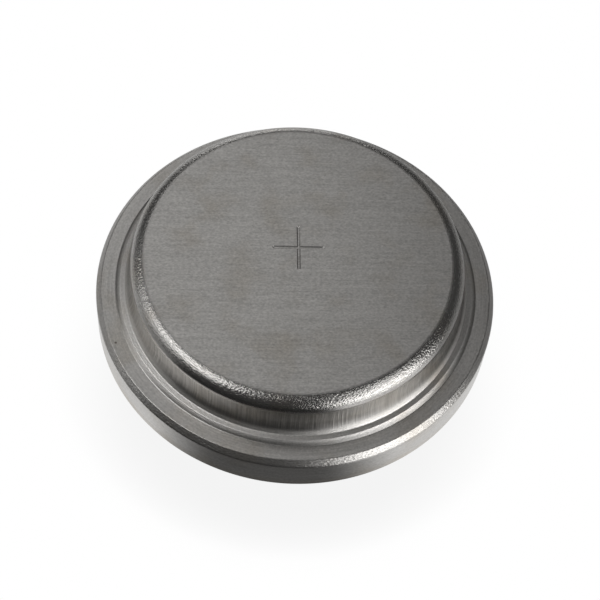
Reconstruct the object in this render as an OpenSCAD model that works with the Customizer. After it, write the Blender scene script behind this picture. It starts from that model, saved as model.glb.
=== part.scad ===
// Alkaline button cell of the stepped 15.6 mm size.
// A drawn steel can, the positive pole, is crimped over a nylon ring,
// which holds the flange of a pressed cap, the negative pole.
// The cell stands on its negative contact face, with the cell's axis on Z and that face at Z = 0.

/* [Overall size] */
// Diameter of the rim, the widest part of the cell
rim_d = 15.6; // [14.6:0.1:17]
// Height over the two contact faces
cell_h = 6.0; // [5.6:0.1:7]

/* [Positive can] */
// Thickness of the can's sheet
can_wall = 0.25; // [0.18:0.01:0.3]
// Height of the contact face above the flange
boss_h = 2.0; // [1.6:0.05:2.3]
// Radius of the boss's shoulder
shoulder_r = 0.57; // [0.35:0.01:0.9]
// How far the boss wall flares out at its foot
flare_w = 0.25; // [0.1:0.01:0.35]
// Height over which it flares
flare_h = 0.37; // [0.25:0.01:0.5]
// Radius of the flare's hollow curve
flare_r = 1.1; // [0.5:0.05:1.2]
// Radius of the crease between the flare and the ledge
crease_r = 0.08; // [0.05:0.01:0.15]
// Width of the ledge's gently sloped top
ledge_top_w = 0.18; // [0.12:0.01:0.25]
// Fall of the ledge's top from the crease to its edge
ledge_top_h = 0.05; // [0.02:0.01:0.08]
// Radius of the ledge's edge
ledge_edge_r = 0.45; // [0.3:0.05:0.6]
// Width of the ledge's sloped side
ledge_side_w = 0.18; // [0.12:0.01:0.25]
// Height of the ledge's sloped side above the flange
ledge_side_h = 0.15; // [0.1:0.01:0.2]
// Radius where the ledge runs out on the flange
ledge_foot_r = 0.25; // [0.1:0.05:0.3]
// Width of the flange, from the ledge to the rim wall
flange_w = 0.76; // [0.6:0.02:1]
// Radius of the rim's upper edge
rim_edge_r = 0.3; // [0.3:0.02:0.45]
// Height of the rim, from the crimped lip's underside to the flange
rim_h = 1.9; // [1.7:0.05:2.2]
// Radius of the crimp's bend
crimp_r = 0.4; // [0.32:0.02:0.5]
// Width of the crimped lip, from the rim wall inwards
crimp_w = 1.05; // [0.9:0.05:1.2]

/* [Negative cap] */
// Thickness of the cap's sheet
cap_wall = 0.3; // [0.2:0.01:0.35]
// Radius of the edge of the contact face
cap_edge_r = 0.7; // [0.4:0.05:1]
// How far the cap's wall leans in from its flange to the contact face
cap_draft = 0.2; // [0.05:0.05:0.4]
// Radius of the bend between the cap's wall and its flange
cap_neck_r = 0.25; // [0.1:0.05:0.3]

/* [Seal] */
// Thickness of the nylon between the cap's flange and the rim wall
seal_wall = 0.4; // [0.3:0.05:0.5]
// Thickness of the nylon between the cap's flange and the crimped lip
seal_lip = 0.35; // [0.25:0.05:0.45]
// Width of the nylon ring that shows between the lip and the cap
seal_show = 0.55; // [0.4:0.05:0.7]
// Depth of that ring below the face of the lip
seal_recess = 0.06; // [0.02:0.01:0.15]

/* [Filling] */
// Thickness of the separator film
film_t = 0.12; // [0.08:0.01:0.2]
// Thickness of the absorbent pad
pad_t = 0.3; // [0.2:0.05:0.4]

/* [Fit] */
// Clearance between a round face and the one it sits in
seat_gap = 0.02; // [0.01:0.005:0.04]

/* [Hidden] */
$fn = 128;

// How far a rounding arc crosses the straight edges that it joins, so that it ends cleanly on both
arc_overlap = 0.0001;
// How far the waste of a rounded corner runs past it, as a share of the radius
corner_overrun = 0.12;

// Radii, from the rim inwards
rim_r = rim_d / 2;
rim_inner_r = rim_r - can_wall;
ledge_foot_outer_r = rim_r - flange_w;
ledge_edge_outer_r = ledge_foot_outer_r - ledge_side_w;
crease_outer_r = ledge_edge_outer_r - ledge_top_w;
boss_r = crease_outer_r - flare_w;
lip_r = rim_r - crimp_w;
cap_r = lip_r - seal_show;
seal_outer_r = rim_inner_r - seat_gap;
cap_flange_r = seal_outer_r - seal_wall - seat_gap;
film_r = rim_r - rim_edge_r - seat_gap;

// Heights, from the positive face downwards
flange_z = cell_h - boss_h;
ledge_edge_z = flange_z + ledge_side_h;
crease_z = ledge_edge_z + ledge_top_h;
flare_z = crease_z + flare_h;
flange_under_z = flange_z - can_wall;
film_z = flange_under_z - film_t;
pad_z = film_z - pad_t;
// and from the crimped lip upwards
lip_z = flange_z - rim_h;
lip_top_z = lip_z + can_wall;
cap_flange_z = lip_top_z + seal_lip;
cap_flange_top_z = cap_flange_z + cap_wall;

// Outer face of the can, from the centre of the contact face to the end of the crimped lip
can_path = [
    [0, cell_h],
    [boss_r, cell_h],
    [boss_r, flare_z],
    [crease_outer_r, crease_z],
    [ledge_edge_outer_r, ledge_edge_z],
    [ledge_foot_outer_r, flange_z],
    [rim_r, flange_z],
    [rim_r, lip_z],
    [lip_r, lip_z]
];
can_bends = [0, shoulder_r, flare_r, crease_r, ledge_edge_r, ledge_foot_r, rim_edge_r, crimp_r, 0];

// Outer face of the cap, from the centre of the contact face to the end of the flange
cap_path = [
    [0, 0],
    [cap_r - cap_draft, 0],
    [cap_r, cap_flange_z],
    [cap_flange_r, cap_flange_z]
];
cap_bends = [0, cap_edge_r, cap_neck_r, 0];

// Directions in the plane of a profile
function unit(v) = v / norm(v);
function to_left(v) = [-v.y, v.x];

// Item of a closed list, counted round its end
function item(list, i) = list[(i + len(list)) % len(list)];

function backwards(list) = [for (i = [len(list) - 1 : -1 : 0]) list[i]];

// Turn of a path at point i: 1 to the left, -1 to the right
function turn(path, i) = sign(cross(path[i] - item(path, i - 1), item(path, i + 1) - path[i]));

// Open path moved sideways to its left, with each of its edges kept parallel
function moved(path, distance) = [
    for (i = [0 : len(path) - 1])
        let (
            ahead = min(i, len(path) - 2),
            behind = max(i - 1, 0),
            a = to_left(unit(path[behind + 1] - path[behind])),
            b = to_left(unit(path[ahead + 1] - path[ahead]))
        )
        path[i] + (a + b) / (1 + a * b) * distance
];

// Bend radii of that moved path, on the same centres
function moved_bends(path, bends, distance) = [
    for (i = [0 : len(path) - 1])
        bends[i] > 0 ? max(bends[i] - turn(path, i) * distance, 0) : 0
];

// Twice the signed area of a closed outline, positive when it runs to the left
function winding(outline) = let (last = len(outline) - 1)
    [for (i = [0 : last]) cross(outline[i], item(outline, i + 1))] * [for (i = [0 : last]) 1];

// Half of the angle at corner i of a closed outline
function half_angle(outline, i) =
    acos(unit(item(outline, i - 1) - outline[i]) * unit(item(outline, i + 1) - outline[i])) / 2;

// Radii that the outline's edges have room for:
// where an edge is too short for the arcs at both of its ends, they are made smaller
function fitted(outline, radii) =
    let (
        last = len(outline) - 1,
        edges = [for (i = [0 : last]) norm(item(outline, i + 1) - outline[i])],
        reaches = [for (i = [0 : last]) radii[i] / tan(half_angle(outline, i))],
        room = [for (i = [0 : last]) edges[i] / max(reaches[i] + item(reaches, i + 1), edges[i])]
    )
    [for (i = [0 : last]) radii[i] * min(room[i], item(room, i - 1))];

// What lies between a sharp corner and the arc that rounds it, with the sharp end drawn out past the corner
module corner(point, before, after, radius) {
    u = unit(before - point);
    v = unit(after - point);
    half = acos(u * v) / 2;
    inwards = unit(u + v);
    centre_distance = radius - arc_overlap;
    reach = centre_distance / tan(half);
    centre = point + inwards * centre_distance / sin(half);
    difference() {
        polygon([point - inwards * radius * corner_overrun, point + u * reach, centre, point + v * reach]);
        translate(centre) circle(radius);
    }
}

// The corners of an outline that turn one way: side is 1 for its outward corners and -1 for its inward ones
module corners(outline, radii, side) {
    for (i = [0 : len(outline) - 1])
        if (radii[i] > 0 && turn(outline, i) * sign(winding(outline)) == side)
            corner(outline[i], item(outline, i - 1), item(outline, i + 1), radii[i]);
}

// Outline with a true arc at each corner that has a radius
module rounded(outline, radii) {
    arcs = fitted(outline, radii);
    difference() {
        union() {
            polygon(outline);
            corners(outline, arcs, -1);
        }
        corners(outline, arcs, 1);
    }
}

// Section of a pressed sheet of one thickness, which lies to the left of its path
module sheet(path, bends, thickness) {
    inner = moved(path, thickness);
    inner_bends = moved_bends(path, bends, thickness);
    rounded(concat(path, backwards(inner)), concat(bends, backwards(inner_bends)));
}

// Round plate with its lower face at z
module plate(radius, z, thickness) {
    translate([0, 0, z]) cylinder(r = radius, h = thickness);
}

// Drawn and crimped shell of nickel-plated steel
module positive_can() {
    color([0.62, 0.61, 0.59]) rotate_extrude() sheet(can_path, can_bends, -can_wall);
}

// Pressed tablet of manganese dioxide and graphite, seated in the boss
module cathode_pellet() {
    pellet_r = boss_r - can_wall - seat_gap;
    pellet_top_z = cell_h - can_wall;
    color([0.13, 0.13, 0.14]) rotate_extrude() rounded(
        [[0, flange_under_z], [pellet_r, flange_under_z], [pellet_r, pellet_top_z], [0, pellet_top_z]],
        [0, 0, shoulder_r, 0]
    );
}

// Cellulose film between the two fillings, its edge clamped under the flange
module separator_film() {
    color([0.86, 0.84, 0.74]) plate(film_r, film_z, film_t);
}

// Felt pad that holds the electrolyte, in the bore of the seal
module absorbent_pad() {
    color([0.92, 0.91, 0.87]) plate(lip_r - seat_gap, pad_z, pad_t);
}

// Zinc gel that fills the cap and rises to the pad
module anode_gel() {
    inset = cap_wall + seat_gap;
    cup = moved(cap_path, inset);
    cup_bends = moved_bends(cap_path, cap_bends, inset);
    head_r = lip_r - seat_gap;
    color([0.45, 0.47, 0.5]) rotate_extrude() rounded(
        [cup[0], cup[1], cup[2], [head_r, cup[2].y], [head_r, pad_z], [0, pad_z]],
        [0, cup_bends[1], cup_bends[2], 0, 0, 0]
    );
}

// Nylon ring, folded round the cap's flange by the crimp
module sealing_gasket() {
    show_z = lip_z + seal_recess;
    wall_r = cap_r + seat_gap;
    groove_r = cap_flange_r + seat_gap;
    color([0.2, 0.3, 0.42]) rotate_extrude() rounded(
        [
            [wall_r, show_z],
            [lip_r - seat_gap, show_z],
            [lip_r - seat_gap, lip_top_z],
            [seal_outer_r, lip_top_z],
            [seal_outer_r, film_z],
            [lip_r, film_z],
            [lip_r, cap_flange_top_z],
            [groove_r, cap_flange_top_z],
            [groove_r, cap_flange_z],
            [wall_r, cap_flange_z]
        ],
        [0, 0, 0, crimp_r - can_wall, 0, 0, 0, 0, 0, cap_neck_r]
    );
}

// Pressed hat of nickel-plated sheet, its flange gripped in the seal
module negative_cap() {
    color([0.68, 0.67, 0.64]) rotate_extrude() sheet(cap_path, cap_bends, cap_wall);
}

positive_can();
cathode_pellet();
separator_film();
absorbent_pad();
anode_gel();
sealing_gasket();
negative_cap();
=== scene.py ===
"""Alkaline button cell, dressed over its CAD frame.

The frame holds the cell's seven solids. The three pieces that show, the can, the cap and the seal
between them, are modelled here with finer sections and the stamped mark, and stand for their
solids. The filling inside keeps its solids and gets its own materials.
"""

import logging
import math
from dataclasses import dataclass, field
from enum import Enum
from typing import Any, ClassVar, Mapping, Sequence

import bmesh
import bpy
from mathutils import Matrix, Vector

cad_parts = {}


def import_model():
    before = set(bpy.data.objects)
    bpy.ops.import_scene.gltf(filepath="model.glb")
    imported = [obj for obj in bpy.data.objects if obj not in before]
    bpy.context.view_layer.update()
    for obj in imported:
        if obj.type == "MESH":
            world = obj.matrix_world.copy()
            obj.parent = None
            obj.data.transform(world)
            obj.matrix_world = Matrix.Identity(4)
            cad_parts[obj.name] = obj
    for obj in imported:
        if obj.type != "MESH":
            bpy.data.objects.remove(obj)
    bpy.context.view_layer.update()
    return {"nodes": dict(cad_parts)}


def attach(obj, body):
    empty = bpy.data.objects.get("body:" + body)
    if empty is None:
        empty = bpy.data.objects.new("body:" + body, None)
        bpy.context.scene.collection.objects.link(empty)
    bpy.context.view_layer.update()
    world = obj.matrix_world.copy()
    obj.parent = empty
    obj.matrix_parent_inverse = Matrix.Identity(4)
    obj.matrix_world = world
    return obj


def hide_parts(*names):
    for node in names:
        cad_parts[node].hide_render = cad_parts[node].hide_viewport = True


LOG = logging.getLogger("button_cell")
MM = 0.001  # sizes below are in millimetres, and Blender works in metres
PHOTO_PIXELS = 600
ROOT_BODY = "root"
MERGE_DISTANCE = 2e-4  # mm
SHARP_ANGLE = math.radians(32.0)  # edges that turn more than this are shaded as sharp
LEVEL = 0.99999  # a face whose normal is this close to Z is flat


class CadNode(Enum):
    """Solids of the CAD frame."""

    POSITIVE_CAN = "positive_can"
    CATHODE_PELLET = "cathode_pellet"
    SEPARATOR_FILM = "separator_film"
    ABSORBENT_PAD = "absorbent_pad"
    ANODE_GEL = "anode_gel"
    SEALING_GASKET = "sealing_gasket"
    NEGATIVE_CAP = "negative_cap"


class Slot(Enum):
    """Material slots of the record for the modelled pieces; nothing in the script reads them."""

    CAN_STEEL = "can_steel"
    NYLON = "nylon"
    CAP_STEEL = "cap_steel"


class Mark(Enum):
    """Marks that rolling, drawing and handling leave on the can."""

    GRAIN = "rolled grain"
    SCRATCH = "rubbing scratches"
    CLOUDS = "patches of handling"
    PEEL = "orange peel"
    DRAW = "die lines"
    RINGS = "ironing streaks"


class Zone(Enum):
    """Zones of the can, each worked in its own way."""

    FACE = "contact face"
    SHOULDER = "shoulder"
    WALL = "wall of the boss"
    STEP = "ledge"
    IRONED = "flange and rim wall"
    RIM = "edge of the rim"


def hex_to_linear(code: str) -> tuple[float, float, float, float]:
    """Turn an sRGB hex colour to the linear one that a shader takes.

    Args:
        code: Colour such as ``#C8C4BC``.

    Returns:
        Linear red, green and blue, with full alpha.
    """
    channels = (int(code[i : i + 2], 16) / 255 for i in (1, 3, 5))
    linear = (c / 12.92 if c <= 0.04045 else ((c + 0.055) / 1.055) ** 2.4 for c in channels)
    return (*linear, 1.0)


def add_node(
    tree: bpy.types.NodeTree,
    kind: str,
    inputs: Mapping[int | str, Any] | None = None,
    **settings: Any,
) -> bpy.types.Node:
    """Add a node with its settings and links.

    Args:
        tree: Node tree that takes the node.
        kind: Blender's name for the type of node.
        inputs: A value, or the output socket to link, for each input by its index or name.
        settings: Properties of the node itself.

    Returns:
        The new node.
    """
    node = tree.nodes.new(kind)
    for name, value in settings.items():
        setattr(node, name, value)
    for key, value in (inputs or {}).items():
        if isinstance(value, bpy.types.NodeSocket):
            tree.links.new(value, node.inputs[key])
        else:
            node.inputs[key].default_value = value
    return node


def new_material(name: str) -> tuple[bpy.types.Material, bpy.types.NodeTree]:
    """Make an empty node material.

    Args:
        name: Name of the finish.

    Returns:
        The material and its node tree.
    """
    material = bpy.data.materials.new(name)
    material.use_nodes = True
    material.node_tree.nodes.clear()
    return material, material.node_tree


@dataclass(frozen=True)
class Corner:
    """Corner of a section: distance from the axis, height and the radius that rounds it, in mm."""

    r: float
    z: float
    bend: float = 0.0

    @property
    def point(self) -> Vector:
        """Place of the corner in the plane of the section."""
        return Vector((self.r, 0.0, self.z))


class Section:
    """Half section of a round piece, drawn in the XZ plane of a bmesh and then turned about Z."""

    ARC_STEP = math.radians(5.0)  # most that a bend turns from one point to the next
    ARC_LEAST = 3  # steps of the smallest bend
    TURN_STEPS = 288  # steps around the cell

    def __init__(self) -> None:
        """Start with an empty bmesh, in millimetres."""
        self.bm = bmesh.new()
        self.first: bmesh.types.BMVert | None = None
        self.tip: bmesh.types.BMVert | None = None

    def line_to(self, point: Vector) -> None:
        """Draw a straight edge from the tip, or set the first point down.

        Args:
            point: End of the edge.
        """
        if self.tip is None:
            self.first = self.tip = self.bm.verts.new(point)
        if (point - self.tip.co).length < MERGE_DISTANCE:
            return
        made = bmesh.ops.extrude_vert_indiv(self.bm, verts=[self.tip])
        self.tip = made["verts"][0]
        bmesh.ops.translate(self.bm, verts=[self.tip], vec=point - self.tip.co)

    def arc(self, centre: Vector, angle: float) -> None:
        """Swing the tip about a centre.

        Args:
            centre: Centre of the arc.
            angle: Turn in radians, positive to the left of the way drawn.
        """
        made = bmesh.ops.spin(
            self.bm,
            geom=[self.tip],
            cent=centre,
            axis=(0.0, -1.0, 0.0),
            angle=angle,
            steps=max(self.ARC_LEAST, math.ceil(abs(angle) / self.ARC_STEP)),
        )
        self.tip = next(v for v in made["geom_last"] if isinstance(v, bmesh.types.BMVert))

    def trace(self, corners: Sequence[Corner], closed: bool = False) -> None:
        """Draw a path through corners, each rounded by its bend.

        Args:
            corners: Corners in order.
            closed: Whether the path returns to its first corner.
        """
        for i, corner in enumerate(corners):
            if corner.bend == 0:
                self.line_to(corner.point)
                continue
            u = (corners[i - 1].point - corner.point).normalized()
            v = (corners[(i + 1) % len(corners)].point - corner.point).normalized()
            half = u.angle(v) / 2
            centre = corner.point + (u + v).normalized() * (corner.bend / math.sin(half))
            side = math.copysign(1.0, u.z * v.x - u.x * v.z)
            self.line_to(corner.point + u * (corner.bend / math.tan(half)))
            self.arc(centre, side * (math.pi - 2 * half))
        if closed:
            self.bm.edges.new((self.tip, self.first))

    def turn(self) -> bmesh.types.BMesh:
        """Turn the section about Z into a surface with its seam merged.

        Returns:
            The bmesh, with its normals pointing outwards.
        """
        bmesh.ops.spin(
            self.bm,
            geom=[*self.bm.verts, *self.bm.edges],
            cent=(0.0, 0.0, 0.0),
            axis=(0.0, 0.0, 1.0),
            angle=2 * math.pi,
            steps=self.TURN_STEPS,
            use_merge=True,
        )
        bmesh.ops.remove_doubles(self.bm, verts=self.bm.verts, dist=MERGE_DISTANCE)
        bmesh.ops.recalc_face_normals(self.bm, faces=self.bm.faces)
        return self.bm


def press_sheet(corners: Sequence[Corner], wall: float, up: bool) -> bmesh.types.BMesh:
    """Shape a round pressed sheet: its outer skin with a flat face in the middle, then its wall.

    Args:
        corners: Outer section, from the edge of the flat face to the sheet's open end.
        wall: Thickness of the sheet, mm.
        up: Whether the flat face looks up.

    Returns:
        The closed shape, in mm.
    """
    section = Section()
    section.trace(corners)
    bm = section.turn()
    face_z = corners[0].z
    outline = [
        edge
        for edge in bm.edges
        if edge.is_boundary and all(abs(v.co.z - face_z) < MERGE_DISTANCE for v in edge.verts)
    ]
    face = bmesh.ops.contextual_create(bm, geom=outline)["faces"][0]
    bmesh.ops.recalc_face_normals(bm, faces=bm.faces)
    if (face.normal.z > 0) != up:
        bmesh.ops.reverse_faces(bm, faces=bm.faces)
    bm.normal_update()
    bmesh.ops.solidify(bm, geom=bm.faces[:], thickness=wall)
    return bm


def shade(mesh: bpy.types.Mesh) -> None:
    """Shade a piece smooth, with its true edges and the outlines of its flat faces kept crisp.

    Args:
        mesh: Mesh of the piece.
    """
    mesh.set_sharp_from_angle(angle=SHARP_ANGLE)
    bm = bmesh.new()
    bm.from_mesh(mesh)
    for edge in bm.edges:
        level = [abs(face.normal.z) > LEVEL for face in edge.link_faces]
        if any(level) and not all(level):
            edge.smooth = False
    bm.to_mesh(mesh)
    bm.free()


def finish_piece(
    bm: bmesh.types.BMesh,
    name: str,
    material: bpy.types.Material,
    node: CadNode,
) -> bpy.types.Object:
    """Make the object of a piece, ride it on the cell and let it stand for its solid.

    Args:
        bm: Shape in millimetres. It is freed.
        name: Name of the piece.
        material: Its finish.
        node: Solid that the piece stands for.

    Returns:
        The object, at the origin.
    """
    bmesh.ops.scale(bm, vec=(MM, MM, MM), verts=bm.verts)
    for face in bm.faces:
        face.smooth = True
    mesh = bpy.data.meshes.new(name)
    bm.to_mesh(mesh)
    bm.free()
    shade(mesh)
    mesh.materials.append(material)
    piece = bpy.data.objects.new(name, mesh)
    bpy.context.scene.collection.objects.link(piece)
    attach(piece, ROOT_BODY)
    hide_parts(node.value)
    LOG.info("%s: %d faces, stands for %s", name, len(mesh.polygons), node.value)
    return piece


@dataclass(frozen=True)
class DrawnNickelSteel:
    """Mild steel, nickel plated and deep drawn: satin, with the marks that each bend leaves.

    The rolled sheet keeps its straight grain on the contact face. The stretched bends have an
    orange-peel skin that breaks a highlight into sparkles, the drawn wall has fine upright lines,
    and the flange and the rim's wall are ironed, with streaks that run round the cell.
    """

    MEAN_NOISE: ClassVar[float] = 0.5
    # how many scales of noise, each half as large as the last, a mark has besides its own
    OCTAVES: ClassVar[Mapping[Mark, float]] = {
        Mark.GRAIN: 1.0,
        Mark.SCRATCH: 2.0,
        Mark.CLOUDS: 4.0,
        Mark.PEEL: 2.0,
        Mark.DRAW: 2.0,
        Mark.RINGS: 2.0,
    }

    colour: str = "#B7B5B2"
    tarnish: str = "#A29682"
    speck: str = "#4A4038"

    # distances from the axis over which a stretch of the can begins, mm
    off_face: tuple[float, float] = (5.88, 6.02)
    ledge: tuple[float, float] = (6.52, 6.62)
    ironed: tuple[float, float] = (6.9, 7.0)
    edge: tuple[float, float] = (7.52, 7.64)
    # heights over which a stretch of the can begins, mm
    above_rim: tuple[float, float] = (3.62, 3.76)
    boss: tuple[float, float] = (4.2, 4.6)
    boss_top: tuple[float, float] = (5.3, 5.5)
    upper_shoulder: tuple[float, float] = (5.52, 5.76)

    # sizes of the marks, mm
    mean_radius: float = 6.6  # where the marks that run round have their size
    grain_pitch: float = 0.058  # rolled grain, about 0.02 in life, drawn coarser so that it shows
    grain_length: float = 0.09
    scratch_length: float = 1.5  # longer marks of rolling and rubbing
    peel_pitch: float = 0.068  # grain of the stretched sheet, drawn out along the bend
    peel_length: float = 0.088
    draw_pitch: float = 0.06  # die lines, about 0.03 in life, drawn coarser so that they show
    draw_length: float = 2.0
    ring_pitch: float = 0.06  # ironing streaks, drawn coarser than life so that they show
    ring_length: float = 2.5
    cloud_size: float = 1.5  # patches of handling and faint tarnish
    speck_spacing: float = 1.8  # one pit to a cube of this size, and few of them meet the surface
    speck_radius: float = 0.06

    base_peel: float = 0.0006  # depth of the peel all over, mm
    # a mark, the zone that it lies on, and its depth there, mm
    relief: tuple[tuple[Mark, Zone, float], ...] = (
        (Mark.GRAIN, Zone.FACE, 0.0007),
        (Mark.PEEL, Zone.SHOULDER, 0.02),
        (Mark.PEEL, Zone.RIM, 0.013),
        (Mark.PEEL, Zone.STEP, 0.008),
        (Mark.DRAW, Zone.WALL, 0.014),
        (Mark.RINGS, Zone.IRONED, 0.0005),
        (Mark.PEEL, Zone.IRONED, 0.0009),
    )

    stain_clouds: tuple[float, float] = (0.5, 0.8)  # clouds between which tarnish comes up
    stain_most: float = 0.35  # most tarnish in the clouds
    low_tint: tuple[float, float] = (2.9, 2.2)  # heights where a browner tint towards the crimp begins and is full, mm
    low_tint_most: float = 0.4  # most of that tint, at the bottom
    scratch_share: float = 0.33  # share of the scratches in the marks of the face
    ring_share: float = 0.4  # share of the streaks in the marks of the flange and the bends
    line_noise: tuple[float, float] = (0.25, 0.75)  # noise of a dark and of a bright mark
    line_level: tuple[float, float] = (0.72, 1.28)  # brightness of a dark and of a bright mark
    ledge_painted_highlight: float = 0.4  # painted highlight: how much brighter the colour is on the ledge
    speck_most: float = 0.75  # how far a pit takes its own colour

    satin: tuple[float, float] = (0.2, 0.28)  # roughness at the two ends of the clouds
    # how much rougher a zone is
    rougher: tuple[tuple[Zone, float], ...] = (
        (Zone.FACE, 0.09),
        (Zone.SHOULDER, -0.07),
        (Zone.IRONED, 0.08),
        (Zone.WALL, 0.07),
        (Zone.STEP, 0.16),
    )

    def material(self) -> bpy.types.Material:
        """Build the material.

        Returns:
            The node material.
        """
        material, tree = new_material("nickel_plated_drawn_steel")
        object_place = add_node(tree, "ShaderNodeTexCoord").outputs["Object"]
        place = add_node(
            tree, "ShaderNodeVectorMath", {0: object_place, "Scale": 1 / MM}, operation="SCALE"
        ).outputs[0]
        height = add_node(tree, "ShaderNodeSeparateXYZ", {0: place}).outputs["Z"]
        flat = add_node(
            tree, "ShaderNodeVectorMath", {0: place, 1: (1.0, 1.0, 0.0)}, operation="MULTIPLY"
        ).outputs[0]
        radius = add_node(
            tree, "ShaderNodeVectorMath", {0: flat}, operation="LENGTH"
        ).outputs["Value"]

        masks = self._masks(tree, radius, height)
        marks = self._marks(tree, place, flat, radius, height)
        normal = add_node(
            tree, "ShaderNodeBump", {"Height": self._relief(tree, marks, masks), "Distance": MM}
        ).outputs["Normal"]
        shader = add_node(
            tree,
            "ShaderNodeBsdfPrincipled",
            {
                "Base Color": self._colour(tree, place, height, marks, masks),
                "Metallic": 1.0,
                "Roughness": self._roughness(tree, marks, masks),
                "Normal": normal,
            },
        )
        add_node(tree, "ShaderNodeOutputMaterial", {"Surface": shader.outputs[0]})
        return material

    def _masks(
        self, tree: bpy.types.NodeTree, radius: bpy.types.NodeSocket, height: bpy.types.NodeSocket
    ) -> dict[Zone, bpy.types.NodeSocket]:
        """Split the can into its zones.

        Args:
            tree: Node tree of the material.
            radius: Distance from the axis, in mm.
            height: Height, in mm.

        Returns:
            The weight of each zone, from 0 to 1.
        """
        starts = {
            "off_face": (radius, self.off_face),
            "ledge": (radius, self.ledge),
            "ironed": (radius, self.ironed),
            "edge": (radius, self.edge),
            "above_rim": (height, self.above_rim),
            "boss": (height, self.boss),
            "boss_top": (height, self.boss_top),
            "upper_shoulder": (height, self.upper_shoulder),
        }
        past = {
            name: add_node(
                tree,
                "ShaderNodeMapRange",
                {"Value": value, "From Min": low, "From Max": high},
                interpolation_type="SMOOTHSTEP",
            ).outputs[0]
            for name, (value, (low, high)) in starts.items()
        }
        zones = {
            Zone.FACE: (1.0, past["off_face"], "SUBTRACT"),
            Zone.SHOULDER: (past["off_face"], past["upper_shoulder"], "MULTIPLY"),
            Zone.WALL: (past["boss"], past["boss_top"], "SUBTRACT"),
            Zone.STEP: (past["ledge"], past["ironed"], "SUBTRACT"),
            Zone.RIM: (past["edge"], past["above_rim"], "MULTIPLY"),
        }
        weights = {Zone.IRONED: past["ironed"]}
        for zone, (first, second, operation) in zones.items():
            weights[zone] = add_node(
                tree, "ShaderNodeMath", {0: first, 1: second}, operation=operation
            ).outputs[0]
        return weights

    def _marks(
        self,
        tree: bpy.types.NodeTree,
        place: bpy.types.NodeSocket,
        flat: bpy.types.NodeSocket,
        radius: bpy.types.NodeSocket,
        height: bpy.types.NodeSocket,
    ) -> dict[Mark, bpy.types.NodeSocket]:
        """Draw the marks of the sheet and of its drawing, each as a noise from 0 to 1.

        Args:
            tree: Node tree of the material.
            place: Object place, in mm.
            flat: The same without its height.
            radius: Distance from the axis, in mm.
            height: Height, in mm.

        Returns:
            The noise of each mark.
        """
        spots = {}
        # the size of a straight mark along each axis
        straight = {
            Mark.GRAIN: (self.grain_length, self.grain_pitch, self.grain_pitch),
            Mark.SCRATCH: (self.scratch_length, self.grain_pitch, self.grain_pitch),
            Mark.CLOUDS: (self.cloud_size, self.cloud_size, self.cloud_size),
        }
        for mark, sizes in straight.items():
            spots[mark] = add_node(
                tree,
                "ShaderNodeVectorMath",
                {0: place, 1: tuple(1 / size for size in sizes)},
                operation="MULTIPLY",
            ).outputs[0]

        around = add_node(
            tree, "ShaderNodeVectorMath", {0: flat}, operation="NORMALIZE"
        ).outputs[0]
        across = add_node(
            tree, "ShaderNodeMath", {0: radius, 1: height}, operation="SUBTRACT"
        ).outputs[0]
        # the size of a mark around the cell, its size across, and what is measured across
        turned = {
            Mark.PEEL: (self.peel_length, self.peel_pitch, across),
            Mark.DRAW: (self.draw_pitch, self.draw_length, height),
            Mark.RINGS: (self.ring_length, self.ring_pitch, across),
        }
        for mark, (length, pitch, way) in turned.items():
            along = add_node(
                tree,
                "ShaderNodeVectorMath",
                {0: around, "Scale": self.mean_radius / length},
                operation="SCALE",
            ).outputs[0]
            step = add_node(
                tree, "ShaderNodeMath", {0: way, 1: 1 / pitch}, operation="MULTIPLY"
            ).outputs[0]
            lift = add_node(tree, "ShaderNodeCombineXYZ", {"Z": step}).outputs[0]
            spots[mark] = add_node(
                tree, "ShaderNodeVectorMath", {0: along, 1: lift}, operation="ADD"
            ).outputs[0]

        return {
            mark: add_node(
                tree,
                "ShaderNodeTexNoise",
                {"Vector": spot, "Scale": 1.0, "Detail": self.OCTAVES[mark]},
            ).outputs["Fac"]
            for mark, spot in spots.items()
        }

    def _relief(
        self,
        tree: bpy.types.NodeTree,
        marks: Mapping[Mark, bpy.types.NodeSocket],
        masks: Mapping[Zone, bpy.types.NodeSocket],
    ) -> bpy.types.NodeSocket:
        """Lay the marks over their zones.

        Args:
            tree: Node tree of the material.
            marks: Noise of each mark.
            masks: Weights of the zones.

        Returns:
            Height of the relief, in mm.
        """
        relief = add_node(
            tree, "ShaderNodeMath", {0: marks[Mark.PEEL], 1: self.base_peel}, operation="MULTIPLY"
        ).outputs[0]
        for mark, zone, depth in self.relief:
            # a noise about zero leaves no step where its zone ends
            level = add_node(
                tree, "ShaderNodeMath", {0: marks[mark], 1: self.MEAN_NOISE}, operation="SUBTRACT"
            ).outputs[0]
            weighted = add_node(
                tree, "ShaderNodeMath", {0: level, 1: masks[zone]}, operation="MULTIPLY"
            ).outputs[0]
            relief = add_node(
                tree,
                "ShaderNodeMath",
                {0: weighted, 1: depth, 2: relief},
                operation="MULTIPLY_ADD",
            ).outputs[0]
        return relief

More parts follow.
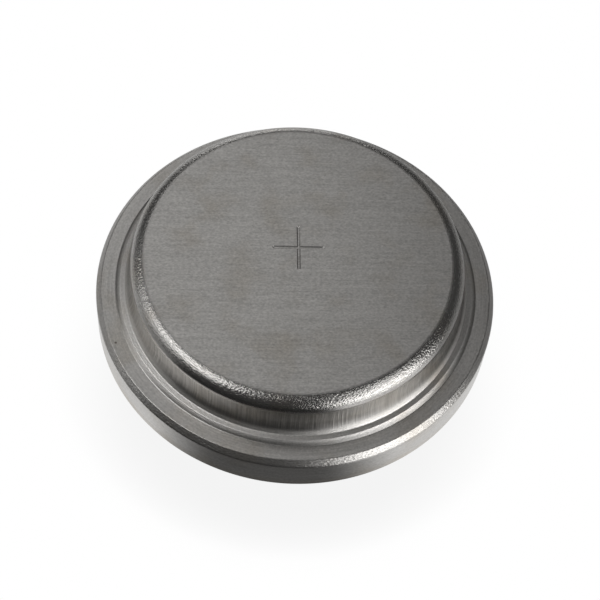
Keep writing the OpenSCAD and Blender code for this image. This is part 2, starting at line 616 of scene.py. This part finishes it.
    def _colour(
        self,
        tree: bpy.types.NodeTree,
        place: bpy.types.NodeSocket,
        height: bpy.types.NodeSocket,
        marks: Mapping[Mark, bpy.types.NodeSocket],
        masks: Mapping[Zone, bpy.types.NodeSocket],
    ) -> bpy.types.NodeSocket:
        """Colour the plating: marks, faint tarnish, painted ledge highlight, few dark pits.

        Args:
            tree: Node tree of the material.
            place: Object place, in mm.
            height: Height, in mm.
            marks: Noise of each mark.
            masks: Weights of the zones.

        Returns:
            The base colour.
        """
        patchy = add_node(
            tree,
            "ShaderNodeMapRange",
            {
                "Value": marks[Mark.CLOUDS],
                "From Min": self.stain_clouds[0],
                "From Max": self.stain_clouds[1],
                "To Max": self.stain_most,
            },
        ).outputs[0]
        # a browner, darker tint that grows towards the bottom of the rim
        low = add_node(
            tree,
            "ShaderNodeMapRange",
            {
                "Value": height,
                "From Min": self.low_tint[0],
                "From Max": self.low_tint[1],
                "To Max": self.low_tint_most,
            },
        ).outputs[0]
        tarnish_and_low_tint = add_node(tree, "ShaderNodeMath", {0: patchy, 1: low}, operation="ADD").outputs[0]
        tinted = add_node(
            tree,
            "ShaderNodeMix",
            {0: tarnish_and_low_tint, 6: hex_to_linear(self.colour), 7: hex_to_linear(self.tarnish)},
            data_type="RGBA",
        ).outputs[2]

        sheet = add_node(
            tree,
            "ShaderNodeMix",
            {0: self.scratch_share, 2: marks[Mark.GRAIN], 3: marks[Mark.SCRATCH]},
        ).outputs[0]
        worn = add_node(
            tree,
            "ShaderNodeMix",
            {0: self.ring_share, 2: marks[Mark.PEEL], 3: marks[Mark.RINGS]},
        ).outputs[0]
        drawn = add_node(
            tree, "ShaderNodeMix", {0: masks[Zone.WALL], 2: worn, 3: marks[Mark.DRAW]}
        ).outputs[0]
        lines = add_node(
            tree, "ShaderNodeMix", {0: masks[Zone.FACE], 2: drawn, 3: sheet}
        ).outputs[0]
        level = add_node(
            tree,
            "ShaderNodeMapRange",
            {
                "Value": lines,
                "From Min": self.line_noise[0],
                "From Max": self.line_noise[1],
                "To Min": self.line_level[0],
                "To Max": self.line_level[1],
            },
        ).outputs[0]
        # the marks, with a painted highlight that brightens the colour of the ledge
        marks_and_ledge_highlight = add_node(
            tree,
            "ShaderNodeMath",
            {0: masks[Zone.STEP], 1: self.ledge_painted_highlight, 2: level},
            operation="MULTIPLY_ADD",
        ).outputs[0]
        lined = add_node(
            tree, "ShaderNodeVectorMath", {0: tinted, "Scale": marks_and_ledge_highlight}, operation="SCALE"
        ).outputs[0]

        pits = add_node(
            tree, "ShaderNodeTexVoronoi", {"Vector": place, "Scale": 1 / self.speck_spacing}
        ).outputs["Distance"]
        edge = self.speck_radius / self.speck_spacing
        dot = add_node(
            tree,
            "ShaderNodeMapRange",
            {"Value": pits, "From Min": edge, "From Max": edge / 2, "To Max": self.speck_most},
        ).outputs[0]
        return add_node(
            tree,
            "ShaderNodeMix",
            {0: dot, 6: lined, 7: hex_to_linear(self.speck)},
            data_type="RGBA",
        ).outputs[2]

    def _roughness(
        self,
        tree: bpy.types.NodeTree,
        marks: Mapping[Mark, bpy.types.NodeSocket],
        masks: Mapping[Zone, bpy.types.NodeSocket],
    ) -> bpy.types.NodeSocket:
        """Make the worked zones satin and the shoulder brighter.

        Args:
            tree: Node tree of the material.
            marks: Noise of each mark.
            masks: Weights of the zones.

        Returns:
            The roughness.
        """
        roughness = add_node(
            tree,
            "ShaderNodeMapRange",
            {"Value": marks[Mark.CLOUDS], "To Min": self.satin[0], "To Max": self.satin[1]},
        ).outputs[0]
        for zone, change in self.rougher:
            roughness = add_node(
                tree,
                "ShaderNodeMath",
                {0: masks[zone], 1: change, 2: roughness},
                operation="MULTIPLY_ADD",
            ).outputs[0]
        return roughness


@dataclass(frozen=True)
class PressedNickelSteel:
    """Nickel-plated sheet pressed to a hat: brighter than the can, with fine rubbing marks."""

    colour: str = "#C9C5BD"
    mark_pitch: float = 0.12  # rubbing marks, drawn coarser than life so that they show, mm
    mark_length: float = 10 / 3  # mm
    mark_turn: float = 24.0  # direction of the marks about Z, degrees
    mark_depth: float = 0.0025  # mm
    mark_level: tuple[float, float] = (0.86, 1.1)  # brightness of a dark and of a bright mark
    cloud_size: float = 5 / 3  # patches of handling, mm
    satin: tuple[float, float] = (0.2, 0.42)  # roughness at the two ends of the clouds
    octaves: float = 4.0  # scales of noise besides a mark's own

    def material(self) -> bpy.types.Material:
        """Build the material.

        Returns:
            The node material.
        """
        material, tree = new_material("nickel_plated_pressed_steel")
        object_place = add_node(tree, "ShaderNodeTexCoord").outputs["Object"]
        place = add_node(
            tree, "ShaderNodeVectorMath", {0: object_place, "Scale": 1 / MM}, operation="SCALE"
        ).outputs[0]
        turned = add_node(
            tree,
            "ShaderNodeMapping",
            {
                "Vector": place,
                "Rotation": (0.0, 0.0, math.radians(self.mark_turn)),
                "Scale": (1 / self.mark_length, 1 / self.mark_pitch, 1 / self.mark_pitch),
            },
        ).outputs[0]
        marks = add_node(
            tree, "ShaderNodeTexNoise", {"Vector": turned, "Scale": 1.0, "Detail": self.octaves}
        ).outputs["Fac"]
        clouds = add_node(
            tree,
            "ShaderNodeTexNoise",
            {"Vector": place, "Scale": 1 / self.cloud_size, "Detail": self.octaves},
        ).outputs["Fac"]
        level = add_node(
            tree,
            "ShaderNodeMapRange",
            {"Value": marks, "To Min": self.mark_level[0], "To Max": self.mark_level[1]},
        ).outputs[0]
        colour = add_node(
            tree,
            "ShaderNodeVectorMath",
            {0: hex_to_linear(self.colour)[:3], "Scale": level},
            operation="SCALE",
        ).outputs[0]
        roughness = add_node(
            tree,
            "ShaderNodeMapRange",
            {"Value": clouds, "To Min": self.satin[0], "To Max": self.satin[1]},
        ).outputs[0]
        relief = add_node(
            tree, "ShaderNodeMath", {0: marks, 1: self.mark_depth}, operation="MULTIPLY"
        ).outputs[0]
        normal = add_node(tree, "ShaderNodeBump", {"Height": relief, "Distance": MM}).outputs[0]
        shader = add_node(
            tree,
            "ShaderNodeBsdfPrincipled",
            {"Base Color": colour, "Metallic": 1.0, "Roughness": roughness, "Normal": normal},
        )
        add_node(tree, "ShaderNodeOutputMaterial", {"Surface": shader.outputs[0]})
        return material


@dataclass(frozen=True)
class GrainedMatter:
    """Non-metal with a grain: two colours mixed by noise, and a relief of the same grain."""

    OCTAVES: ClassVar[float] = 4.0  # scales of noise besides the grain's own
    GAIN: ClassVar[float] = 0.6  # strength of each finer octave
    CONTRAST: ClassVar[tuple[float, float]] = (0.3, 0.7)  # noise that is all dark and all light

    name: str
    dark: str
    light: str
    grain: float  # grain size, mm
    depth: float  # height of the relief, mm
    roughness: float
    ior: float
    stretch: tuple[float, float, float] = (1.0, 1.0, 1.0)  # how far the grain is drawn out

    def material(self) -> bpy.types.Material:
        """Build the material.

        Returns:
            The node material.
        """
        material, tree = new_material(self.name)
        object_place = add_node(tree, "ShaderNodeTexCoord").outputs["Object"]
        scales = tuple(1 / (MM * self.grain * stretch) for stretch in self.stretch)
        scaled = add_node(
            tree, "ShaderNodeMapping", {"Vector": object_place, "Scale": scales}
        ).outputs[0]
        noise = add_node(
            tree,
            "ShaderNodeTexNoise",
            {"Vector": scaled, "Scale": 1.0, "Detail": self.OCTAVES, "Roughness": self.GAIN},
        ).outputs["Fac"]
        share = add_node(
            tree,
            "ShaderNodeMapRange",
            {"Value": noise, "From Min": self.CONTRAST[0], "From Max": self.CONTRAST[1]},
        ).outputs[0]
        colour = add_node(
            tree,
            "ShaderNodeMix",
            {0: share, 6: hex_to_linear(self.dark), 7: hex_to_linear(self.light)},
            data_type="RGBA",
        ).outputs[2]
        relief = add_node(
            tree, "ShaderNodeMath", {0: noise, 1: self.depth}, operation="MULTIPLY"
        ).outputs[0]
        normal = add_node(tree, "ShaderNodeBump", {"Height": relief, "Distance": MM}).outputs[0]
        shader = add_node(
            tree,
            "ShaderNodeBsdfPrincipled",
            {
                "Base Color": colour,
                "Roughness": self.roughness,
                "IOR": self.ior,
                "Normal": normal,
            },
        )
        add_node(tree, "ShaderNodeOutputMaterial", {"Surface": shader.outputs[0]})
        return material


# nylon 66, moulded: dense satin plastic with a slight mould texture
MOULDED_NYLON = GrainedMatter(
    name="moulded_nylon",
    dark="#4A6078",
    light="#5A7189",
    grain=0.25,
    depth=0.002,
    roughness=0.42,
    ior=1.53,
)
# manganese dioxide and graphite, pressed to a tablet: matte black powder, faint graphite shine
PRESSED_POWDER = GrainedMatter(
    name="pressed_cathode_powder",
    dark="#141416",
    light="#37373A",
    grain=0.09,
    depth=0.01,
    roughness=0.72,
    ior=1.6,
)
# regenerated cellulose, cast as a film: smooth, pale amber
CELLULOSE_FILM = GrainedMatter(
    name="cellulose_film",
    dark="#DCD6BC",
    light="#E6E2CE",
    grain=0.8,
    depth=0.001,
    roughness=0.3,
    ior=1.47,
    stretch=(2.0, 1.0, 1.0),
)
# cotton and viscose fibres, felted: matted strands that run along the web
NON_WOVEN_FELT = GrainedMatter(
    name="non_woven_felt",
    dark="#D8D5C9",
    light="#F2F0E8",
    grain=0.06,
    depth=0.02,
    roughness=0.9,
    ior=1.5,
    stretch=(6.0, 1.0, 1.0),
)
# zinc powder in thickened electrolyte: grey grains with a wet shine
ZINC_GEL = GrainedMatter(
    name="zinc_powder_gel",
    dark="#5E6166",
    light="#9A9DA2",
    grain=0.12,
    depth=0.012,
    roughness=0.34,
    ior=1.4,
)


@dataclass
class StampedPlus:
    """Polarity mark pressed into the contact face: two crossed grooves with round ends."""

    END_STEPS: ClassVar[int] = 24
    centre: tuple[float, float] = (0.0, 0.42)  # mm
    arm: float = 2.0  # length of each stroke, mm
    width: float = 0.145  # width of a stroke over its rolled lips, mm
    clear: float = 0.05  # how far the tool stands above the face, mm
    lip: float = 0.002  # height above the face at which the first step begins, mm
    # inset and depth of each step down the groove, from above its lip to its floor, mm
    steps: tuple[tuple[float, float], ...] = ((0.01, 0.005), (0.032, 0.036), (0.006, 0.003))
    # direction of each stroke about Z, in radians, and how much deeper it goes, mm
    strokes: tuple[tuple[float, float], ...] = ((math.pi / 2, 0.0), (0.0, 0.0015))

    def punch(self, face_z: float, angle: float, sink: float) -> bpy.types.Object:
        """Build the tool that leaves one stroke of the mark.

        Args:
            face_z: Height of the contact face, mm.
            angle: Direction of the stroke about Z, in radians.
            sink: How much deeper the stroke goes, so that no two floors lie in one plane, mm.

        Returns:
            A closed mesh object in metres.
        """
        bm = bmesh.new()
        half_step = Matrix.Rotation(math.pi / self.END_STEPS, 4, "Z")
        bmesh.ops.create_circle(
            bm, cap_ends=True, radius=self.width / 2, segments=self.END_STEPS, matrix=half_step
        )
        for side in (-1, 1):
            end = [v for v in bm.verts if v.co.x * side > 0]
            bmesh.ops.translate(bm, vec=(side * (self.arm - self.width) / 2, 0.0, 0.0), verts=end)
        top = bm.faces[:]
        made = bmesh.ops.extrude_face_region(bm, geom=top)
        lower = [g for g in made["geom"] if isinstance(g, bmesh.types.BMFace)]
        bmesh.ops.translate(
            bm, vec=(0.0, 0.0, self.lip - self.clear), verts=[v for f in lower for v in f.verts]
        )
        bmesh.ops.recalc_face_normals(bm, faces=bm.faces)
        for inset, depth in self.steps:
            bmesh.ops.inset_region(
                bm, faces=lower, thickness=inset, depth=depth, use_even_offset=True
            )
        stand = Matrix.Translation((*self.centre, face_z + self.clear - sink))
        place = stand @ Matrix.Rotation(angle, 4, "Z")
        bmesh.ops.transform(bm, matrix=Matrix.Scale(MM, 4) @ place, verts=bm.verts)
        bmesh.ops.recalc_face_normals(bm, faces=bm.faces)
        mesh = bpy.data.meshes.new("plus_punch")
        bm.to_mesh(mesh)
        bm.free()
        punch = bpy.data.objects.new("plus_punch", mesh)
        bpy.context.scene.collection.objects.link(punch)
        return punch


@dataclass
class PositiveCan:
    """Drawn and crimped shell, with the stepped boss that is the positive contact."""

    wall: float = 0.25  # mm
    corners: tuple[Corner, ...] = (
        Corner(5.86, 6.0),  # edge of the contact face
        Corner(6.43, 6.0, 0.57),  # shoulder
        Corner(6.43, 4.57, 1.1),  # flare at the foot of the boss
        Corner(6.67, 4.18, 0.06),  # crease
        Corner(6.87, 4.15, 0.05),  # ledge
        Corner(7.04, 4.0, 0.07),  # foot of the ledge
        Corner(7.6, 4.0, 0.05),  # flange, up to the bevel of the rim
        Corner(7.8, 3.77, 0.16),  # rim
        Corner(7.8, 2.1, 0.34),  # crimp
        Corner(6.75, 2.1),  # end of the crimped lip
    )
    mark: StampedPlus = field(default_factory=StampedPlus)
    finish: DrawnNickelSteel = field(default_factory=DrawnNickelSteel)

    def build(self) -> bpy.types.Object:
        """Model the can, stamp its mark and dress it.

        Returns:
            The can's object.
        """
        can = finish_piece(
            press_sheet(self.corners, self.wall, up=True),
            "drawn_can",
            self.finish.material(),
            CadNode.POSITIVE_CAN,
        )
        self._stamp(can)
        return can

    def _stamp(self, can: bpy.types.Object) -> None:
        """Press the mark into the contact face.

        Args:
            can: Object of the can.
        """
        face_z = self.corners[0].z
        punches = [self.mark.punch(face_z, angle, sink) for angle, sink in self.mark.strokes]
        for punch in punches:
            cut = can.modifiers.new("stamp", "BOOLEAN")
            cut.operation = "DIFFERENCE"
            cut.solver = "MANIFOLD"
            cut.object = punch
        bpy.context.view_layer.update()
        stamped = bpy.data.meshes.new_from_object(
            can.evaluated_get(bpy.context.evaluated_depsgraph_get())
        )
        can.modifiers.clear()
        plain, can.data = can.data, stamped
        stamped.name = can.name
        shade(stamped)
        bpy.data.meshes.remove(plain)
        for punch in punches:
            bpy.data.objects.remove(punch)


@dataclass
class NegativeCap:
    """Pressed hat that the cell stands on: the negative contact."""

    wall: float = 0.3  # mm
    corners: tuple[Corner, ...] = (
        Corner(5.3499, 0.0),  # edge of the contact face
        Corner(6.0, 0.0, 0.7),  # shoulder
        Corner(6.2, 2.7, 0.25),  # root of the flange
        Corner(7.11, 2.7),  # edge of the flange
    )
    finish: PressedNickelSteel = field(default_factory=PressedNickelSteel)

    def build(self) -> bpy.types.Object:
        """Model the cap and dress it.

        Returns:
            The cap's object.
        """
        return finish_piece(
            press_sheet(self.corners, self.wall, up=False),
            "pressed_cap",
            self.finish.material(),
            CadNode.NEGATIVE_CAP,
        )


@dataclass
class SealingGasket:
    """Nylon ring folded round the flange of the cap."""

    corners: tuple[Corner, ...] = (
        Corner(6.22, 2.16),  # edge that shows round the cap
        Corner(6.73, 2.16, 0.06),
        Corner(6.73, 2.35),  # seat of the crimped lip
        Corner(7.53, 2.35, 0.15),
        Corner(7.53, 3.63),  # wall inside the rim
        Corner(6.75, 3.63),
        Corner(6.75, 3.0),  # groove for the flange of the cap
        Corner(7.13, 3.0),
        Corner(7.13, 2.7),
        Corner(6.22, 2.7, 0.25),
    )
    finish: GrainedMatter = MOULDED_NYLON

    def build(self) -> bpy.types.Object:
        """Model the ring and dress it.

        Returns:
            The ring's object.
        """
        section = Section()
        section.trace(self.corners, closed=True)
        return finish_piece(
            section.turn(),
            "nylon_seal",
            self.finish.material(),
            CadNode.SEALING_GASKET,
        )


@dataclass
class Filling:
    """What works inside the cell. Its solids are right as they are and only get their looks."""

    finishes: Mapping[CadNode, GrainedMatter] = field(
        default_factory=lambda: {
            CadNode.CATHODE_PELLET: PRESSED_POWDER,
            CadNode.SEPARATOR_FILM: CELLULOSE_FILM,
            CadNode.ABSORBENT_PAD: NON_WOVEN_FELT,
            CadNode.ANODE_GEL: ZINC_GEL,
        }
    )

    def dress(self, nodes: Mapping[str, bpy.types.Object]) -> None:
        """Give each solid of the filling its material.

        Args:
            nodes: Solids of the frame by name.
        """
        for node, finish in self.finishes.items():
            solid = nodes[node.value]
            solid.data.materials.clear()
            solid.data.materials.append(finish.material())
            LOG.info("%s: dressed as %s", node.value, finish.name)


def direction(azimuth: float, elevation: float) -> Vector:
    """Unit direction from the cell, by degrees about Z from +X and degrees above the floor."""
    a, e = math.radians(azimuth), math.radians(elevation)
    return Vector((math.cos(e) * math.cos(a), math.cos(e) * math.sin(a), math.sin(e)))


@dataclass(frozen=True)
class Softbox:
    """Diffused lamp that faces the cell from a direction about it."""

    name: str
    azimuth: float  # degrees about Z from +X
    elevation: float  # degrees above the floor
    width: float  # mm
    height: float  # mm
    watts: float
    distance: float = 300.0  # mm


@dataclass(frozen=True)
class PaintedPatch:
    """Painted light or shade on the floor out of the picture, which only the metal mirrors."""

    azimuth: float  # its direction from the cell, degrees about Z from +X
    full: float  # half angle within which it shows fully, degrees
    fade: float  # half angle beyond which it doesn't show, degrees
    brightness: float


@dataclass
class Studio:
    """Pale floor, softboxes and the camera that stands where the photograph was taken."""

    target: tuple[float, float, float] = (0.0, 0.0, 2.256)  # point that the camera looks at, mm
    camera_azimuth: float = -95.4  # degrees about Z from +X
    camera_elevation: float = 58.961  # degrees above the floor
    camera_distance: float = 65.0  # mm
    camera_roll: float = 5.654  # degrees
    focal_pixels: float = 1622.6
    shift_pixels: tuple[float, float] = (6.172, 7.102)
    sensor: float = 36.0  # mm
    clip: tuple[float, float] = (5.0, 10000.0)  # nearest and farthest that the camera sees, mm

    floor_size: float = 1500.0  # mm
    floor_colour: str = "#F7F7F6"
    floor_roughness: float = 0.9
    sky_azimuth: float = 85.0  # direction of the sky that throws the shadow, degrees
    sky_elevation: float = 25.0
    shadow_reach: float = 4.0  # mm
    shadow_samples: int = 32
    shadow_sky: tuple[float, float] = (0.45, 0.98)  # share of open sky in full shadow and in none
    shadow_level: float = 0.9  # brightness in full shadow
    # painted light and shade on the floor that only the metal mirrors: a white pool near the cell,
    # dim beyond
    pool: tuple[float, float] = (9.8, 12.5)  # radii between which the mirrored floor turns dim, mm
    dusk: float = 0.3  # brightness of the dim floor
    contact: PaintedPatch = PaintedPatch(262.0, 15.0, 46.0, 0.13)  # painted shade close before the cell, inside the pool
    # painted light and shade on the floor beyond the pool, each patch over the last
    painted_patches: tuple[PaintedPatch, ...] = (
        PaintedPatch(314.0, 16.0, 32.0, 1.0),  # painted light, at the right
        PaintedPatch(247.0, 33.0, 45.0, 0.03),  # painted shade, in front
        PaintedPatch(132.0, 32.0, 66.0, 0.55),  # paler painted light, behind
    )

    air_colour: str = "#FFFFFF"
    air: float = 0.07  # strength of the even light in the room
    # direction, width and height, and power
    softboxes: tuple[Softbox, ...] = (
        Softbox("back_softbox", 95.0, 58.0, 112.0, 165.0, 0.0385),
        Softbox("back_left_softbox", 156.0, 43.0, 115.0, 250.0, 0.03),
        Softbox("low_back_softbox", 92.0, 10.0, 158.0, 84.0, 0.056),
        Softbox("left_softbox", 192.0, 59.0, 215.0, 135.0, 0.185),
        Softbox("low_left_softbox", 180.0, 24.0, 145.0, 140.0, 0.051),
        Softbox("front_left_softbox", 205.0, 47.0, 150.0, 95.0, 0.025),
        Softbox("right_softbox", 328.0, 50.0, 112.0, 125.0, 0.088),
        Softbox("mid_right_softbox", 315.0, 28.0, 235.0, 95.0, 0.055),
        Softbox("low_right_softbox", 317.5, 11.5, 260.0, 112.0, 0.32),
    )

    def build(self) -> None:
        """Set up the floor, the light and the camera."""
        scene = bpy.context.scene
        scene.view_settings.view_transform = "Standard"
        self._floor()
        self._air()
        for softbox in self.softboxes:
            self._lamp(softbox)
        scene.camera = self._camera()

    def _shadow(self, tree: bpy.types.NodeTree) -> bpy.types.NodeSocket:
        """Shade the floor where the cell hides the sky towards the back.

        Args:
            tree: Node tree of the floor.

        Returns:
            Brightness of the floor to the camera.
        """
        sky = add_node(
            tree,
            "ShaderNodeCombineXYZ",
            dict(enumerate(direction(self.sky_azimuth, self.sky_elevation))),
        ).outputs[0]
        open_sky = add_node(
            tree,
            "ShaderNodeAmbientOcclusion",
            {"Distance": self.shadow_reach * MM, "Normal": sky},
            samples=self.shadow_samples,
        ).outputs["AO"]
        return add_node(
            tree,
            "ShaderNodeMapRange",
            {
                "Value": open_sky,
                "From Min": self.shadow_sky[0],
                "From Max": self.shadow_sky[1],
                "To Min": self.shadow_level,
            },
            interpolation_type="SMOOTHSTEP",
        ).outputs[0]

    def _lay_painted_patch(
        self,
        tree: bpy.types.NodeTree,
        way: bpy.types.NodeSocket,
        painted_patch: PaintedPatch,
        below: float | bpy.types.NodeSocket,
    ) -> bpy.types.NodeSocket:
        """Lay a patch of painted light or shade over the mirrored floor.

        Args:
            tree: Node tree of the floor.
            way: Direction of a place on the floor from the cell.
            painted_patch: The patch of painted light or shade.
            below: Brightness of what lies under it.

        Returns:
            Brightness with the painted patch.
        """
        along = add_node(
            tree,
            "ShaderNodeVectorMath",
            {0: way, 1: direction(painted_patch.azimuth, 0.0)},
            operation="DOT_PRODUCT",
        ).outputs["Value"]
        share = add_node(
            tree,
            "ShaderNodeMapRange",
            {
                "Value": along,
                "From Min": math.cos(math.radians(painted_patch.fade)),
                "From Max": math.cos(math.radians(painted_patch.full)),
            },
            interpolation_type="SMOOTHSTEP",
        ).outputs[0]
        return add_node(tree, "ShaderNodeMix", {0: share, 2: below, 3: painted_patch.brightness}).outputs[0]

    def _mirrored(self, tree: bpy.types.NodeTree) -> bpy.types.NodeSocket:
        """Paint the floor that the metal mirrors: a white pool near the cell, painted patches
        beyond.

        Args:
            tree: Node tree of the floor.

        Returns:
            Brightness of the floor in a reflection.
        """
        place = add_node(tree, "ShaderNodeTexCoord").outputs["Object"]
        away = add_node(
            tree, "ShaderNodeVectorMath", {0: place}, operation="LENGTH"
        ).outputs["Value"]
        way = add_node(
            tree, "ShaderNodeVectorMath", {0: place}, operation="NORMALIZE"
        ).outputs[0]
        # painted white pool with painted shade before the cell, then painted light and shade
        # further out
        near = self._lay_painted_patch(tree, way, self.contact, 1.0)
        far: float | bpy.types.NodeSocket = self.dusk
        for painted_patch in self.painted_patches:
            far = self._lay_painted_patch(tree, way, painted_patch, far)
        distance = add_node(
            tree,
            "ShaderNodeMapRange",
            {"Value": away, "From Min": self.pool[0] * MM, "From Max": self.pool[1] * MM},
            interpolation_type="SMOOTHSTEP",
        ).outputs[0]
        return add_node(tree, "ShaderNodeMix", {0: distance, 2: near, 3: far}).outputs[0]

    def _floor(self) -> None:
        """Lay white paper under the cell, with its painted soft shadow and the painted light the
        metal sees.
        """
        material, tree = new_material("studio_paper")
        paper = add_node(
            tree,
            "ShaderNodeBsdfPrincipled",
            {
                "Base Color": hex_to_linear(self.floor_colour),
                "Roughness": self.floor_roughness,
                "Specular IOR Level": 0.0,
            },
        )
        path = add_node(tree, "ShaderNodeLightPath")
        camera_ray = path.outputs["Is Camera Ray"]
        strength = add_node(
            tree,
            "ShaderNodeMix",
            {0: camera_ray, 2: self._mirrored(tree), 3: self._shadow(tree)},
        ).outputs[0]
        white = add_node(tree, "ShaderNodeEmission", {"Strength": strength})
        seen = camera_ray
        for ray in ("Is Glossy Ray", "Is Transmission Ray"):
            seen = add_node(
                tree, "ShaderNodeMath", {0: seen, 1: path.outputs[ray]}, operation="MAXIMUM"
            ).outputs[0]
        surface = add_node(
            tree, "ShaderNodeMixShader", {0: seen, 1: paper.outputs[0], 2: white.outputs[0]}
        )
        add_node(tree, "ShaderNodeOutputMaterial", {"Surface": surface.outputs[0]})
        bm = bmesh.new()
        bmesh.ops.create_grid(bm, x_segments=1, y_segments=1, size=self.floor_size / 2 * MM)
        mesh = bpy.data.meshes.new("studio_floor")
        bm.to_mesh(mesh)
        bm.free()
        mesh.materials.append(material)
        floor = bpy.data.objects.new("studio_floor", mesh)
        bpy.context.scene.collection.objects.link(floor)

    def _air(self) -> None:
        """Fill the room with a little even light."""
        world = bpy.data.worlds.new("studio_air")
        world.use_nodes = True
        world.node_tree.nodes.clear()
        background = add_node(
            world.node_tree,
            "ShaderNodeBackground",
            {"Color": hex_to_linear(self.air_colour), "Strength": self.air},
        )
        add_node(world.node_tree, "ShaderNodeOutputWorld", {"Surface": background.outputs[0]})
        bpy.context.scene.world = world

    def _lamp(self, softbox: Softbox) -> None:
        """Hang one softbox.

        Args:
            softbox: Its place, size and power.
        """
        lamp = bpy.data.lights.new(softbox.name, "AREA")
        lamp.shape = "RECTANGLE"
        lamp.size = softbox.width * MM
        lamp.size_y = softbox.height * MM
        lamp.energy = softbox.watts
        way = direction(softbox.azimuth, softbox.elevation)
        hung = bpy.data.objects.new(softbox.name, lamp)
        hung.location = way * (softbox.distance * MM)
        hung.rotation_euler = way.to_track_quat("Z", "Y").to_euler()
        bpy.context.scene.collection.objects.link(hung)

    def _camera(self) -> bpy.types.Object:
        """Place the camera.

        Returns:
            The camera's object.
        """
        data = bpy.data.cameras.new("camera")
        data.sensor_width = self.sensor
        data.lens = self.focal_pixels / PHOTO_PIXELS * data.sensor_width
        data.shift_x, data.shift_y = (s / PHOTO_PIXELS for s in self.shift_pixels)
        data.clip_start, data.clip_end = (reach * MM for reach in self.clip)
        way = direction(self.camera_azimuth, self.camera_elevation)
        camera = bpy.data.objects.new("camera", data)
        turn = way.to_track_quat("Z", "Y").to_matrix().to_4x4()
        roll = Matrix.Rotation(math.radians(self.camera_roll), 4, "Z")
        stand = (Vector(self.target) + way * self.camera_distance) * MM
        camera.matrix_world = Matrix.Translation(stand) @ turn @ roll
        bpy.context.scene.collection.objects.link(camera)
        return camera


def main() -> None:
    """Build the cell and its studio."""
    logging.basicConfig(level=logging.INFO, format="%(name)s: %(message)s")
    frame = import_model()
    Studio().build()
    PositiveCan().build()
    SealingGasket().build()
    NegativeCap().build()
    Filling().dress(frame["nodes"])


if __name__ == "__main__":
    main()
